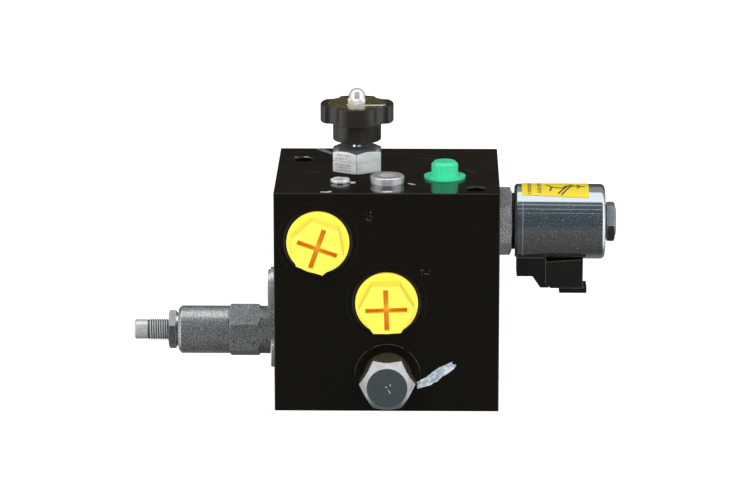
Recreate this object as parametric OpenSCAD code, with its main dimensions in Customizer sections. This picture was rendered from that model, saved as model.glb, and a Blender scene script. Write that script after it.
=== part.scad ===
// Hydraulic manifold block that carries a solenoid directional valve, a relief valve,
// a hand needle valve and a check valve, with its port plugs.
// Millimetres. The origin is the centre of the block's bottom face.
// +X points to the solenoid, -Y to the ported front, +Z up.
// Inside each valve, z = 0 is the block face that it screws into and +z points outwards.

/* [Manifold block] */
// Width of the block along X
block_w = 117.5; // [116:0.5:120]
// Depth of the block along Y
block_d = 104; // [104:0.5:110]
// Height of the block along Z
block_h = 117.5; // [117:0.5:120]
// Chamfer along the block's outer edges
block_chamfer = 0.4; // [0.2:0.1:1]
// Diameter of the two mounting holes through the block
mounting_hole_d = 10.5; // [9:0.5:11]
// Depth of the spotface under each cartridge and plug
spotface_depth = 0.4; // [0.2:0.1:0.6]

/* [Solenoid valve] */
// Height of the solenoid valve's axis above the base
solenoid_z = 90.1; // [88:0.1:92]
// Hexagon of the valve body, across flats
solenoid_hex = 31.75; // [30:0.25:34]
// Length of the valve body's hexagon
solenoid_hex_length = 7.05; // [6:0.05:8]
// Radius of the spool's lands
spool_r = 5; // [4.5:0.1:5.5]
// Travel of the spool and plunger
spool_stroke = 2.6; // [2:0.1:2.8]
// Outer radius of the armature tube
tube_r = 7.9; // [7.6:0.1:8.2]
// Outer radius of the coil
coil_r = 19.9; // [19:0.1:20]
// Length of the coil
coil_length = 47.8; // [47.8:0.1:48]
// Hexagon of the coil nut, across flats
coil_nut_hex = 19.05; // [18:0.05:20]
// Width of the connector's shroud
connector_w = 19; // [18:0.5:20]

/* [Relief valve] */
// Distance of the relief valve's axis behind the block's centre plane
relief_y = 4; // [3:0.5:5]
// Height of the relief valve's axis above the base
relief_z = 28.5; // [27:0.5:30]
// Hexagon of the relief valve body, across flats
relief_hex = 25.4; // [25:0.1:26]
// Radius of the relief valve's neck and spring housing
relief_r = 12.8; // [12.2:0.1:13]
// Radius of the adjusting screw's thread
screw_r = 5.85; // [5.5:0.05:6]
// Hexagon of the locknut, across flats
locknut_hex = 19; // [18:0.5:20]
// Lift of the relief poppet
relief_lift = 1.5; // [1:0.1:1.8]

/* [Needle valve] */
// Position of the needle valve's axis along X
needle_x = -16.4; // [-17:0.1:-15]
// Position of the needle valve's axis along Y
needle_y = 5.5; // [4:0.5:7]
// Hexagon of the needle valve body, across flats
needle_hex = 25.4; // [24:0.1:26]
// Height of the needle valve body above the block
needle_hex_height = 12; // [11.5:0.1:12.5]
// Radius of the needle valve's stem
stem_r = 2.45; // [2:0.05:2.6]
// Radius over the knob's lobes
knob_r = 19.4; // [18.5:0.1:20]
// Number of lobes round the knob
knob_lobes = 4; // [4, 5, 6]

/* [Check valve] */
// Position of the check valve's axis along X
check_x = 0.5; // [0:0.1:1]
// Height of the check valve's axis above the base
check_z = 19.2; // [18.8:0.1:20]
// Hexagon of the check valve body, across flats
check_hex = 25.4; // [24:0.1:26]
// Length of the check valve body outside the block
check_length = 23; // [22:0.5:25]

/* [Ports and plugs] */
// Upper port, position along X
upper_port_x = -35.7; // [-36.5:0.1:-35]
// Upper port, height above the base
upper_port_z = 91.4; // [90:0.1:92]
// Lower port, height above the base
lower_port_z = 58.8; // [58:0.1:60]
// Radius of the port threads
port_r = 13.5; // [13:0.1:14]
// Depth of the ports
port_depth = 22; // [20:0.5:22]
// Hexagon of the plastic port plugs, across flats
port_plug_hex = 25; // [24:0.5:26]
// Flutes round the plastic test port plug
test_plug_flutes = 16; // [14:1:18]

/* [Hidden] */
$fn = 96;

// Clearance between a sliding or seated part and its bore, and between stacked parts
gap = 0.05;
// Overlap that makes a cut break cleanly through a surface
cut = 0.1;
// Radius of the thread of the three smaller cartridges
cartridge_thread_r = 11.05;
// How far those threads reach into the block
cartridge_thread_depth = 14.5;
// Radius of the spotface under those cartridges
cartridge_spotface_r = 17.05;
// Axial clearance between a cartridge's steps and the steps of its cavity
step_gap = 0.1;
thread_foot = step_gap - cartridge_thread_depth;
// Radius of the solenoid valve's thread
solenoid_thread_r = 13.3;
// Seat of a cartridge's face seal: depth of the undercut and counterbore
seal_depth = 2.6;
// Wire radius of a face seal and its centre's distance outside the thread radius
face_seal_wire = 1.05;
face_seal_offset = 0.32;
// Radial space for a cage seal: groove depth below the cage surface
cage_groove = 1.4;
cage_seal_height = 2;

// Armature parts, measured along the solenoid's axis
tube_bore_r = tube_r - 1.8;
tube_foot = -4;
plunger_from = 14;
plunger_to = 38;
plunger_pocket_r = 4.2;
plunger_pocket_depth = 7;
pole_from = plunger_to + spool_stroke + 0.4;
pole_to = 54;
spool_foot = -43;
spool_top = -5;

// Coil parts, measured along the solenoid's axis
coil_from = solenoid_hex_length + 1.5;
coil_to = coil_from + coil_length;
coil_wall = 2.2;
coil_end_wall = 4;
coil_end_round = 2.4;
coil_end_steps = 5;
coil_bore_r = tube_r + 0.1;
stud_r = 6.25;
coil_nut_from = coil_to + 0.8;
coil_nut_to = coil_nut_from + 4.6;
slot_half_w = 8.2;
root_inner_r = coil_r - coil_wall + gap;

// Connector housing: distances below the coil's axis and along it
root_from = coil_from + 1.2;
root_to = root_from + 8.25;
root_bottom = 28.2;
root_w = 17;
saddle_top = 17.6;
shroud_top = 20;
shroud_bottom = 34.4;
shroud_from = root_to + 7.05;
shroud_to = 44.95;
shroud_corner = 2.8;
rim_top = 18.6;
latch_from = 32.55;
latch_bottom = 37.9;
latch_lip = 2.2;
latch_w = 12.4;
socket_from = 29;
socket_half_w = 7.2;
socket_half_h = 3.9;
socket_centre = 29.1;
contact_half_pitch = 2.95;
contact_r = 0.8;

// Relief valve parts, measured along its axis
relief_neck = 9.45;
relief_hex_to = 26.15;
relief_housing_to = 53.45;
relief_bore_r = 7.5;
relief_spigot_r = 9.5;
spring_seat_from = 28;
spring_seat_to = 36;
screw_from = spring_seat_to + gap;
screw_thread_to = 70.25;
screw_to = 77.15;
locknut_from = 54.5;
locknut_to = 58.65;

// Needle valve parts, measured along its axis
needle_bore_r = 4.2;
gland_from = -6.5;
needle_orifice_r = 2.3;
stem_foot = -20;
stem_to = 40;
knob_from = 14.2;
knob_hub_from = 15.8;
knob_hub_r = 12.8;
knob_lobes_from = 26.1;
knob_to = 35.4;
knob_recess_r = 15.4;
knob_recess_floor = 34.2;
knob_notch_r = 7.5;
knob_notch_depth = 3.2;
insert_to = 35.3;
acorn_hex = 9;
acorn_hex_to = 38.4;
acorn_dome_r = 4.37;
acorn_to = 43.4;

// Check valve parts, measured along its axis
check_neck = 7;
check_bore_r = 5.3;
check_nose = -34;

// Screwed plugs
gauge_thread_r = 7.1;
vent_thread_r = 4.2;
vent_washer_t = 0.25;
vent_head_r = 5.25;
vent_head_from = 0.3;
vent_head_to = 1.5;
vent_head_edge = 0.4;
cavity_thread_r = 11.05;
drilling_thread_r = 5.5;
gauge_y = -27.6;
vent_x = -24.6;
vent_y = -27;
cavity_plug_y = -19;
cavity_plug_z = 56.1;
drilling_plug_y = -25;
drilling_plug_z = 23.9;
test_x = 30.1;
test_y = -15.8;
test_bore_r = 5.5;

// Colours
black_coat = [0.1, 0.08, 0.07];
zinc = [0.66, 0.69, 0.7];
steel = [0.55, 0.56, 0.57];
rubber = [0.05, 0.05, 0.05];
moulded_black = [0.15, 0.13, 0.12];
plug_yellow = [1, 0.9, 0.2];
plug_green = [0.27, 0.88, 0.59];

// ---- Placing: the z axis of the children points out of a face of the block ----
module on_right(y, z) {
    translate([block_w / 2, y, z]) rotate([0, 90, 0]) children();
}

module on_left(y, z) {
    translate([-block_w / 2, y, z]) rotate([0, -90, 0]) children();
}

module on_front(x, z) {
    translate([x, -block_d / 2, z]) rotate([90, 0, 0]) children();
}

module on_top(x, y) {
    translate([x, y, block_h]) children();
}

module on_solenoid() {
    on_right(0, solenoid_z) children();
}

module on_relief() {
    on_left(relief_y, relief_z) children();
}

module on_needle() {
    on_top(needle_x, needle_y) children();
}

module on_check() {
    on_front(check_x, check_z) children();
}

// ---- Shapes that repeat ----
// Half outline of a turned part, from sections [from, to, radius] or
// [from, to, radius at from, radius at to] in order along z
function half_outline(sections) = concat(
    [[0, sections[0][0]]],
    [for (s = sections) each [[s[2], s[0]], [len(s) > 3 ? s[3] : s[2], s[1]]]],
    [[0, sections[len(sections) - 1][1]]]);

module turned(sections) {
    rotate_extrude() polygon(half_outline(sections));
}

module turned_shell(outer, inner) {
    difference() {
        turned(outer);
        turned(inner);
    }
}

module hexagon(across_flats, from, to, turn = 0) {
    translate([0, 0, from]) rotate(turn)
        cylinder(d = across_flats / cos(30), h = to - from, $fn = 6);
}

// Hexagon whose corners are turned off by a cone at either end
module chamfered_hexagon(across_flats, from, to, turn, low, high) {
    flat_r = across_flats / 2 - 0.2;
    corner_r = across_flats / 2 / cos(30) + 0.2;
    intersection() {
        hexagon(across_flats, from, to, turn);
        turned(concat(
            low > 0 ? [[from, from + low, flat_r, corner_r]] : [],
            [[from + low, to - high, corner_r + cut]],
            high > 0 ? [[to - high, to, corner_r, flat_r]] : []));
    }
}

// Round seal ring with its centre circle at height z
module seal_ring(centre_r, wire_r, z) {
    translate([0, 0, z]) rotate_extrude() translate([centre_r, 0]) circle(r = wire_r);
}

// Ring of the face seal that sits in a cartridge's undercut
module face_seal(thread_r) {
    color(rubber) seal_ring(thread_r + face_seal_offset, face_seal_wire,
        -spotface_depth - face_seal_wire - 2 * gap);
}

// Seal ring that fills the groove of a cage of radius cage_r at height z
module cage_seal(cage_r, z) {
    color(rubber) difference() {
        turned([[z + gap, z + cage_seal_height - gap, cage_r + gap]]);
        turned([[z - cut, z + cage_seal_height + cut, cage_r - cage_groove + gap]]);
    }
}

// Groove for that ring
module cage_seal_groove(cage_r, z) {
    difference() {
        turned([[z, z + cage_seal_height, cage_r + 1]]);
        turned([[z - cut, z + cage_seal_height + cut, cage_r - cage_groove]]);
    }
}

// Holes drilled radially through the wall of a cage
module cage_holes(count, hole_r, reach, z) {
    for (i = [0:count - 1])
        translate([0, 0, z]) rotate([0, 0, i * 360 / count + 45]) rotate([0, 90, 0])
            cylinder(r = hole_r, h = reach);
}

// Straight drilling from point a to point b
module drilling(a, b, drill_r) {
    v = b - a;
    translate(a) rotate([0, acos(v[2] / norm(v)), atan2(v[1], v[0])])
        cylinder(r = drill_r, h = norm(v));
}

// Compression spring with one closed turn at each end
spring_steps = 16;
spring_sides = 6;
function spring_rise(t, turns, pitch, closed) =
    t < 1 ? t * closed
    : t < turns - 1 ? closed + (t - 1) * pitch
    : closed + (turns - 2) * pitch + (t - turns + 1) * closed;

module spring(mean_r, wire_r, from, to, turns) {
    closed = 2.1 * wire_r;
    pitch = (to - from - 2 * wire_r - 2 * closed) / (turns - 2);
    steps = turns * spring_steps;
    points = [for (i = [0:steps]) for (j = [0:spring_sides - 1])
        let (a = 360 * i / spring_steps, b = 360 * j / spring_sides,
            r = mean_r + wire_r * cos(b))
        [r * cos(a), r * sin(a), from + wire_r
            + spring_rise(i / spring_steps, turns, pitch, closed) + wire_r * sin(b)]];
    skin = [for (i = [0:steps - 1]) for (j = [0:spring_sides - 1])
        let (here = i * spring_sides, n = (j + 1) % spring_sides)
        each [[here + j, here + n, here + spring_sides + n],
            [here + j, here + spring_sides + n, here + spring_sides + j]]];
    first_cap = [for (j = [spring_sides - 1:-1:0]) j];
    last_cap = [for (j = [0:spring_sides - 1]) steps * spring_sides + j];
    polyhedron(points, concat(skin, [first_cap, last_cap]));
}

// ---- Cavities cut in the block ----
// Cavity of one of the smaller cartridges, with its spotface and seal counterbore
module cartridge_cavity(cage_sections, spotface_r) {
    turned(concat(cage_sections,
        [[-cartridge_thread_depth, -spotface_depth - seal_depth, cartridge_thread_r + gap],
            [-spotface_depth - seal_depth, -spotface_depth,
                cartridge_thread_r + face_seal_offset + face_seal_wire + 0.15],
            [-spotface_depth, cut, spotface_r]]));
}

module solenoid_cavity() {
    turned([[-75, -46, 4], [-46, -30, 9.5], [-30, -26, 11.5], [-26, -18, 13],
        [-18, -14.5, 11.5], [-14.5, -seal_depth, solenoid_thread_r + gap],
        [-seal_depth, cut, solenoid_thread_r + face_seal_offset + face_seal_wire + 0.15]]);
}

module relief_cavity() {
    cartridge_cavity([[-67, -42, 5.5], [-42, -26.8, 8.5], [-26.8, -14.5, 10.4]],
        cartridge_spotface_r);
}

module needle_cavity() {
    cartridge_cavity([[-45.5, -29.6, 7], [-29.6, -24.6, 10.5], [-24.6, -14.5, 8.9]], 15.2);
}

module check_cavity() {
    cartridge_cavity([[-62, check_nose - 1, 6], [check_nose - 1, -30, 7.5],
        [-30, -14.5, 8.9]], cartridge_spotface_r);
}

// Threaded port with its wide spotface and the recess for a fitting's shoulder
module port() {
    turned([[-port_depth - 3, -port_depth, 4, port_r], [-port_depth, -1, port_r],
        [-1, -0.5, 18.1], [-0.5, cut, 20.65]]);
}

// Threaded bore of a screwed plug, with a shallow spotface and a pilot drilling
module plug_bore(thread_r, depth, pilot_r, pilot_depth, seat_r) {
    turned([[-pilot_depth, -depth, pilot_r], [-depth, -0.1, thread_r + gap],
        [-0.1, cut, seat_r]]);
}

module mounting_hole(x, y) {
    r = mounting_hole_d / 2;
    chamfer = 0.7;
    translate([x, y, 0]) turned([[-cut, chamfer, r + chamfer + cut, r],
        [chamfer, block_h - chamfer, r],
        [block_h - chamfer, block_h + cut, r, r + chamfer + cut]]);
}

module block_body() {
    w = block_w / 2;
    d = block_d / 2;
    h = block_h;
    c = block_chamfer;
    intersection() {
        linear_extrude(h) polygon([[c - w, -d], [w - c, -d], [w, c - d], [w, d - c],
            [w - c, d], [c - w, d], [-w, d - c], [-w, c - d]]);
        rotate([90, 0, 0]) linear_extrude(block_d + 1, center = true)
            polygon([[c - w, 0], [w - c, 0], [w, c], [w, h - c], [w - c, h],
                [c - w, h], [-w, h - c], [-w, c]]);
        rotate([90, 0, 90]) linear_extrude(block_w + 1, center = true)
            polygon([[c - d, 0], [d - c, 0], [d, c], [d, h - c], [d - c, h],
                [c - d, h], [-d, h - c], [-d, c]]);
    }
}

module manifold_block() {
    color(black_coat) difference() {
        block_body();
        on_solenoid() solenoid_cavity();
        on_relief() relief_cavity();
        on_needle() needle_cavity();
        on_check() check_cavity();
        on_front(upper_port_x, upper_port_z) port();
        on_front(0, lower_port_z) port();
        // Needle valve nose to the upper port, and solenoid side port to the lower port
        drilling([upper_port_x + 3, -31, upper_port_z - 2], [needle_x - 4, needle_y - 4, 76], 5);
        drilling([4, -32, lower_port_z + 4], [24, -4, solenoid_z - 10], 4.5);
        // Cross drillings behind the plugs
        on_top(0, gauge_y) plug_bore(gauge_thread_r, 12, 4, block_h - check_z - 5, 9.2);
        on_top(vent_x, vent_y) plug_bore(vent_thread_r, 9.5, 2.8, 30, 5.4);
        on_left(cavity_plug_y, cavity_plug_z) plug_bore(cavity_thread_r, 15, 8, 62, 13.2);
        on_left(drilling_plug_y, drilling_plug_z) plug_bore(drilling_thread_r, 11, 4, 54, 7.8);
        on_top(test_x, test_y) plug_bore(test_bore_r, 12, 3.2, 32, 11.2);
        mounting_hole(46.4, -41.1);
        mounting_hole(-45.7, 26);
    }
}

// ---- Solenoid directional valve ----
module solenoid_valve_body() {
    color(zinc) on_solenoid() difference() {
        union() {
            turned([[-44, -42, 8.4, 9.4], [-42, step_gap - 30, 9.4],
                [step_gap - 30, thread_foot, 11.4],
                [thread_foot, -seal_depth, solenoid_thread_r], [-seal_depth, gap, 12.4]]);
            chamfered_hexagon(solenoid_hex, gap, solenoid_hex_length, -5.5, 0, 1);
            turned([[solenoid_hex_length - cut, coil_from - 0.15, 9.2]]);
        }
        turned([[-45, tube_foot - gap, spool_r + gap],
            [tube_foot - gap, coil_from, tube_r + gap]]);
        cage_holes(4, 2, 12, -37);
        cage_holes(4, 2.4, 14, -22);
        cage_seal_groove(9.4, -34);
        cage_seal_groove(11.4, -18);
    }
}

module valve_spool() {
    color(steel) on_solenoid() turned([[spool_foot, -39.5, spool_r], [-39.5, -34.5, 3.4],
        [-34.5, -25, spool_r], [-25, -19.5, 3.4], [-19.5, spool_top, spool_r]]);
}

module spool_push_pin() {
    color(steel) on_solenoid() turned([[spool_top + gap, plunger_from - gap, 1.6]]);
}

module armature_tube() {
    color(zinc) on_solenoid() turned_shell(
        [[tube_foot, coil_to - gap, tube_r], [coil_to - gap, coil_nut_to - 0.8, stud_r]],
        [[tube_foot - cut, 54.1, tube_bore_r]]);
}

module pole_piece() {
    color(steel) on_solenoid() turned([[pole_from, pole_to, tube_bore_r - gap]]);
}

module plunger() {
    color(steel) on_solenoid() turned_shell(
        [[plunger_from, plunger_to, tube_bore_r - 2 * gap]],
        [[plunger_to - plunger_pocket_depth, plunger_to + cut, plunger_pocket_r]]);
}

module plunger_spring() {
    color(steel) on_solenoid() spring(3.4, 0.45,
        plunger_to - plunger_pocket_depth + gap, pole_from - gap, 7);
}

module solenoid_face_seal() {
    color(rubber) on_solenoid()
        seal_ring(solenoid_thread_r + face_seal_offset, face_seal_wire, -face_seal_wire - gap);
}

module solenoid_cage_seals() {
    on_solenoid() {
        cage_seal(9.4, -34);
        cage_seal(11.4, -18);
    }
}

// ---- Coil: shell, bobbin, winding, end washer and the moulded connector ----
module coil_shell() {
    color(zinc) on_solenoid() difference() {
        turned([[coil_from, coil_from + 1.2, coil_r - 0.9, coil_r],
            [coil_from + 1.2, coil_to - coil_end_round, coil_r],
            for (i = [1:coil_end_steps])
                [coil_to - coil_end_round * (1 - sin(90 * (i - 1) / coil_end_steps)),
                coil_to - coil_end_round * (1 - sin(90 * i / coil_end_steps)),
                coil_r - coil_end_round * (1 - cos(90 * (i - 1) / coil_end_steps)),
                coil_r - coil_end_round * (1 - cos(90 * i / coil_end_steps))]]);
        turned([[coil_from - cut, coil_to - coil_end_wall, coil_r - coil_wall],
            [coil_to - coil_end_wall, coil_to + cut, coil_bore_r]]);
        translate([coil_r / 2, -slot_half_w, coil_from - 1])
            cube([coil_r, 2 * slot_half_w, root_to + 0.2 - coil_from + 1]);
    }
}

module coil_bobbin() {
    color(moulded_black) on_solenoid() turned_shell(
        [[coil_from + 4.5, coil_from + 6.5, root_inner_r - 0.15],
            [coil_from + 6.5, coil_to - 6.2, 9.2],
            [coil_to - 6.2, coil_to - coil_end_wall - gap, root_inner_r - 0.15]],
        [[coil_from, coil_to, coil_bore_r]]);
}

module coil_winding() {
    color([0.72, 0.4, 0.2]) on_solenoid() turned_shell(
        [[coil_from + 6.6, coil_to - 6.3, 16.4]], [[coil_from, coil_to, 9.25]]);
}

module coil_end_washer() {
    color(zinc) on_solenoid() turned_shell(
        [[coil_from + 0.3, coil_from + 4.4, coil_r - coil_wall - gap]],
        [[coil_from, coil_from + 5, coil_bore_r]]);
}

// Plate whose side view is given by points [distance below the coil's axis, distance along it]
module side_plate(width, points) {
    rotate([90, 0, 0]) linear_extrude(width, center = true) polygon(points);
}

module connector_root() {
    side_plate(root_w, [[saddle_top, root_from], [root_bottom, root_from],
        [root_bottom, root_to + 0.1], [shroud_bottom, root_to + 4.4],
        [shroud_bottom, shroud_from + 2], [saddle_top, shroud_from]]);
    translate([15, -slot_half_w + 0.1, root_from])
        cube([8, 2 * slot_half_w - 0.2, root_to - root_from]);
}

module connector_shroud() {
    side_plate(connector_w, [[shroud_top, shroud_from], [shroud_bottom - shroud_corner, shroud_from],
        [shroud_bottom, shroud_from + shroud_corner], [shroud_bottom, shroud_to],
        [rim_top, shroud_to]]);
}

module connector_latch() {
    side_plate(latch_w, [[shroud_bottom - 1, latch_from], [latch_bottom, latch_from],
        [latch_bottom, shroud_to + latch_lip], [shroud_bottom, shroud_to + latch_lip],
        [shroud_bottom, shroud_to - 1], [shroud_bottom - 1, shroud_to - 1]]);
}

module connector_housing() {
    color(moulded_black) on_solenoid() difference() {
        union() {
            connector_root();
            connector_shroud();
            connector_latch();
        }
        // The saddle clears the coil shell, except where the root enters the shell's slot
        difference() {
            turned([[0, 60, coil_r + gap]]);
            translate([0, -slot_half_w + 0.1, 0]) cube([30, 2 * slot_half_w - 0.2, root_to]);
        }
        turned([[0, 60, root_inner_r]]);
        translate([socket_centre - socket_half_h, -socket_half_w, socket_from])
            cube([2 * socket_half_h, 2 * socket_half_w, 30]);
        for (side = [-1, 1])
            translate([socket_centre, side * contact_half_pitch, socket_from - 3])
                cylinder(r = contact_r + gap, h = 4);
    }
}

module connector_pins() {
    color(steel) on_solenoid() for (side = [-1, 1])
        translate([socket_centre, side * contact_half_pitch, 0])
            turned([[socket_from - 3 + gap, 38.5, contact_r], [38.5, 39.5, contact_r, 0.4]]);
}

// Label wrapped over the top of the coil; the angles count from the top, forwards positive
module coil_label() {
    from = 12.25;
    to = 47.7;
    front_edge = 38.5;
    back_edge = -62;
    reach = 40;
    color(plug_yellow) on_solenoid() intersection() {
        turned_shell([[from, to, coil_r + 0.17]], [[from - cut, to + cut, coil_r + 0.05]]);
        linear_extrude(60) polygon([[0, 0],
            [-reach * cos(front_edge), -reach * sin(front_edge)], [-reach, -reach / 4],
            [-reach, reach / 4], [-reach * cos(back_edge), -reach * sin(back_edge)]]);
    }
}

module coil_inner_seal() {
    color(rubber) on_solenoid() seal_ring(14.4, 0.7, (solenoid_hex_length + coil_from) / 2);
}

module coil_outer_seal() {
    color(rubber) on_solenoid() seal_ring(7.6, 0.35, (coil_to + coil_nut_from) / 2);
}

module coil_nut() {
    color(zinc) on_solenoid() difference() {
        union() {
            chamfered_hexagon(coil_nut_hex, coil_nut_from, coil_nut_to, 28.5, 0.5, 0.7);
            turned([[coil_nut_to - cut, coil_nut_to + 0.6, 8.6, 7]]);
        }
        turned([[coil_nut_from - cut, coil_nut_to - 0.7, stud_r + gap]]);
    }
}

// ---- Relief valve ----
module relief_body() {
    color(zinc) on_relief() difference() {
        union() {
            turned([[-40, -38.5, 7.6, 8.4], [-38.5, step_gap - 26.8, 8.4],
                [step_gap - 26.8, thread_foot, 10.3],
                [thread_foot, -spotface_depth - seal_depth, cartridge_thread_r],
                [-spotface_depth - seal_depth, gap - spotface_depth, 10.2],
                [gap - spotface_depth, relief_neck + cut, relief_r]]);
            chamfered_hexagon(relief_hex, relief_neck, relief_hex_to, -3.5, 1.1, 1.1);
        }
        difference() {
            turned([[0.3, 1.3, relief_r + 1]]);
            turned([[0, 2, relief_r - 0.5]]);
        }
        turned([[-41, -32, 3.5], [-32, -20, 6], [-20, 14, relief_bore_r],
            [14, 27, relief_spigot_r + gap]]);
        cage_holes(4, 2.4, 12, -23);
        cage_seal_groove(8.4, -31);
    }
}

module relief_spring_housing() {
    color(zinc) on_relief() turned_shell(
        [[14 + gap, relief_hex_to + gap, relief_spigot_r],
            [relief_hex_to + gap, relief_housing_to - 1.6, relief_r],
            [relief_housing_to - 1.6, relief_housing_to, relief_r, relief_r - 1.9]],
        [[13, 46, relief_bore_r], [46, 55, screw_r + gap]]);
}

module relief_seat() {
    color(steel) on_relief() turned_shell([[-32 + gap, -26, 6 - gap]],
        [[-33, -25, 3]]);
}

module relief_poppet() {
    color(steel) on_relief() turned([[-28.2, -24, 1.4, 4.4], [-24, -10, 6 - 2 * gap],
        [-10, -3, 3.5]]);
}

module relief_spring() {
    color(steel) on_relief() spring(5, 0.9, -10 + gap, spring_seat_from - gap, 9);
}

module relief_spring_seat() {
    color(steel) on_relief() difference() {
        turned([[22, spring_seat_from, 3.4], [spring_seat_from, spring_seat_to,
            relief_bore_r - gap]]);
        cage_seal_groove(relief_bore_r, 31);
    }
}

module spring_seat_seal() {
    color(rubber) on_relief() difference() {
        turned([[31 + gap, 33 - gap, relief_bore_r - gap / 2]]);
        turned([[30, 34, relief_bore_r - cage_groove + gap]]);
    }
}

module adjusting_screw() {
    socket_hex = 5;
    color(zinc) on_relief() difference() {
        turned([[screw_from, screw_thread_to, screw_r],
            [screw_thread_to, screw_to - 0.7, 5], [screw_to - 0.7, screw_to, 5, 4.3]]);
        hexagon(socket_hex, screw_to - 5, screw_to + cut);
    }
}

module screw_seal_washer() {
    color(steel) on_relief() turned_shell(
        [[relief_housing_to + gap, locknut_from - gap, 8.9]], [[50, 60, screw_r + gap]]);
}

module adjuster_locknut() {
    color(zinc) on_relief() difference() {
        chamfered_hexagon(locknut_hex, locknut_from, locknut_to, -4.5, 0.6, 0.6);
        turned([[50, 65, screw_r + gap]]);
    }
}

module relief_face_seal() {
    on_relief() face_seal(cartridge_thread_r);
}

module relief_cage_seal() {
    on_relief() cage_seal(8.4, -31);
}

// ---- Needle valve and its knob ----
module needle_body() {
    groove_z = needle_hex_height / 2 - 0.6;
    crown_r = 10.8;
    crown_slope = 0.48;
    crown_height = 2;
    color(zinc) on_needle() difference() {
        union() {
            turned([[-43.5, step_gap - 29.6, 6.9], [step_gap - 29.6, thread_foot, 8.8],
                [thread_foot, -spotface_depth - seal_depth, cartridge_thread_r],
                [-spotface_depth - seal_depth, gap - spotface_depth, 10.2]]);
            hexagon(needle_hex, gap - spotface_depth, groove_z, 30);
            hexagon(needle_hex - 0.7, groove_z - cut, groove_z + 0.4, 30);
            intersection() {
                hexagon(needle_hex, groove_z + 0.35, needle_hex_height, 30);
                turned([[groove_z, needle_hex_height - crown_height, needle_hex],
                    [needle_hex_height - crown_height, needle_hex_height,
                        crown_r + crown_height / crown_slope, crown_r]]);
            }
        }
        turned([[-45, -36, needle_orifice_r], [-36, gland_from, needle_bore_r],
            [gland_from, 1.5, stem_r + gap], [1.5, 3.6, 4.35], [3.6, 13, stem_r + gap]]);
        cage_holes(4, 2.2, 12, -27);
        cage_seal_groove(8.8, -20);
    }
}

module needle_tip() {
    color(steel) on_needle() turned([[-39, -34.4, 0.9, 2.25], [-34.4, -24, 2.25],
        [-24, stem_foot - gap, needle_bore_r - gap]]);
}

module needle_stem() {
    color(steel) on_needle() turned([[stem_foot, -9.6, needle_bore_r - gap],
        [-9.6, stem_to, stem_r]]);
}

module stem_seal() {
    color(rubber) on_needle() seal_ring(3.4, 0.88, 2.55);
}

module control_knob() {
    color(moulded_black) on_needle() difference() {
        union() {
            turned([[knob_from, knob_hub_from, 7.7, knob_hub_r],
                [knob_hub_from, knob_lobes_from + cut, knob_hub_r]]);
            difference() {
                turned([[knob_lobes_from, knob_to - 0.6, knob_r],
                    [knob_to - 0.6, knob_to, knob_r, knob_r - 0.6]]);
                for (i = [0:knob_lobes - 1])
                    rotate((i + 0.5) * 360 / knob_lobes - 90)
                        translate([knob_r - knob_notch_depth + knob_notch_r, 0, knob_lobes_from - 1])
                            cylinder(r = knob_notch_r, h = 12);
            }
        }
        turned([[knob_from - cut, knob_recess_floor + cut, stem_r + gap]]);
        turned([[knob_recess_floor, knob_to + cut, knob_recess_r]]);
    }
}

module knob_insert() {
    color([0.5, 0.45, 0.2]) on_needle() turned_shell(
        [[knob_recess_floor + gap, insert_to, knob_recess_r - gap]],
        [[30, 36, stem_r + gap]]);
}

module knob_acorn_nut() {
    dome_z = acorn_to - acorn_dome_r;
    color(zinc) on_needle() difference() {
        union() {
            chamfered_hexagon(acorn_hex, insert_to + gap, acorn_hex_to, 22.5, 0, 0.6);
            turned([[insert_to + 0.5, dome_z, acorn_dome_r]]);
            intersection() {
                translate([0, 0, dome_z]) sphere(r = acorn_dome_r);
                turned([[dome_z - cut, acorn_to + cut, acorn_dome_r + cut]]);
            }
        }
        turned([[insert_to - cut, stem_to + 0.2, stem_r + gap]]);
    }
}

module needle_face_seal() {
    on_needle() face_seal(cartridge_thread_r);
}

module needle_cage_seal() {
    on_needle() cage_seal(8.8, -20);
}

// ---- Check valve ----
module check_body() {
    nose_r = 10.6;
    nose_slope = 0.53;
    nose_depth = 8.2;
    color(zinc) on_check() difference() {
        union() {
            turned([[check_nose, step_gap - 30, 7.4], [step_gap - 30, thread_foot, 8.8],
                [thread_foot, -spotface_depth - seal_depth, cartridge_thread_r],
                [-spotface_depth - seal_depth, gap - spotface_depth, 10.2],
                [gap - spotface_depth, check_neck + cut, 12.5]]);
            intersection() {
                hexagon(check_hex, check_neck, check_length);
                turned([[check_neck, check_neck + 0.8, check_hex / 2 - 0.3, check_hex / 2 + 2.3],
                    [check_neck + 0.8, check_length - nose_depth, check_hex / 2 + 2.4],
                    [check_length - nose_depth, check_length,
                        nose_r + nose_slope * nose_depth, nose_r]]);
            }
        }
        turned([[check_nose - cut, 2, check_bore_r]]);
        cage_holes(4, 2.2, 12, -25);
        cage_seal_groove(8.8, -19);
    }
}

module check_seat() {
    color(steel) on_check() turned_shell([[check_nose, -30, check_bore_r - gap]],
        [[check_nose - cut, -29, 3]]);
}

module check_poppet() {
    color(steel) on_check() turned_shell(
        [[-32.5, -29, 1.4, 3.45], [-29, -22, 3.45], [-22, -12, check_bore_r - 2 * gap]],
        [[-18, -11, 3.6]]);
}

module check_spring() {
    color(steel) on_check() spring(2.9, 0.45, -18 + gap, 2 - gap, 9);
}

module check_face_seal() {
    on_check() face_seal(cartridge_thread_r);
}

module check_cage_seal() {
    on_check() cage_seal(8.8, -19);
}

// ---- Plugs ----
module gauge_plug() {
    flange_r = 8.95;
    color(zinc) on_top(0, gauge_y) difference() {
        turned([[-10, 1.6, gauge_thread_r], [1.6, 3.5, flange_r],
            [3.5, 3.9, flange_r, flange_r - 0.5]]);
        hexagon(7.94, -1.5, 4 + cut);
    }
}

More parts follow.
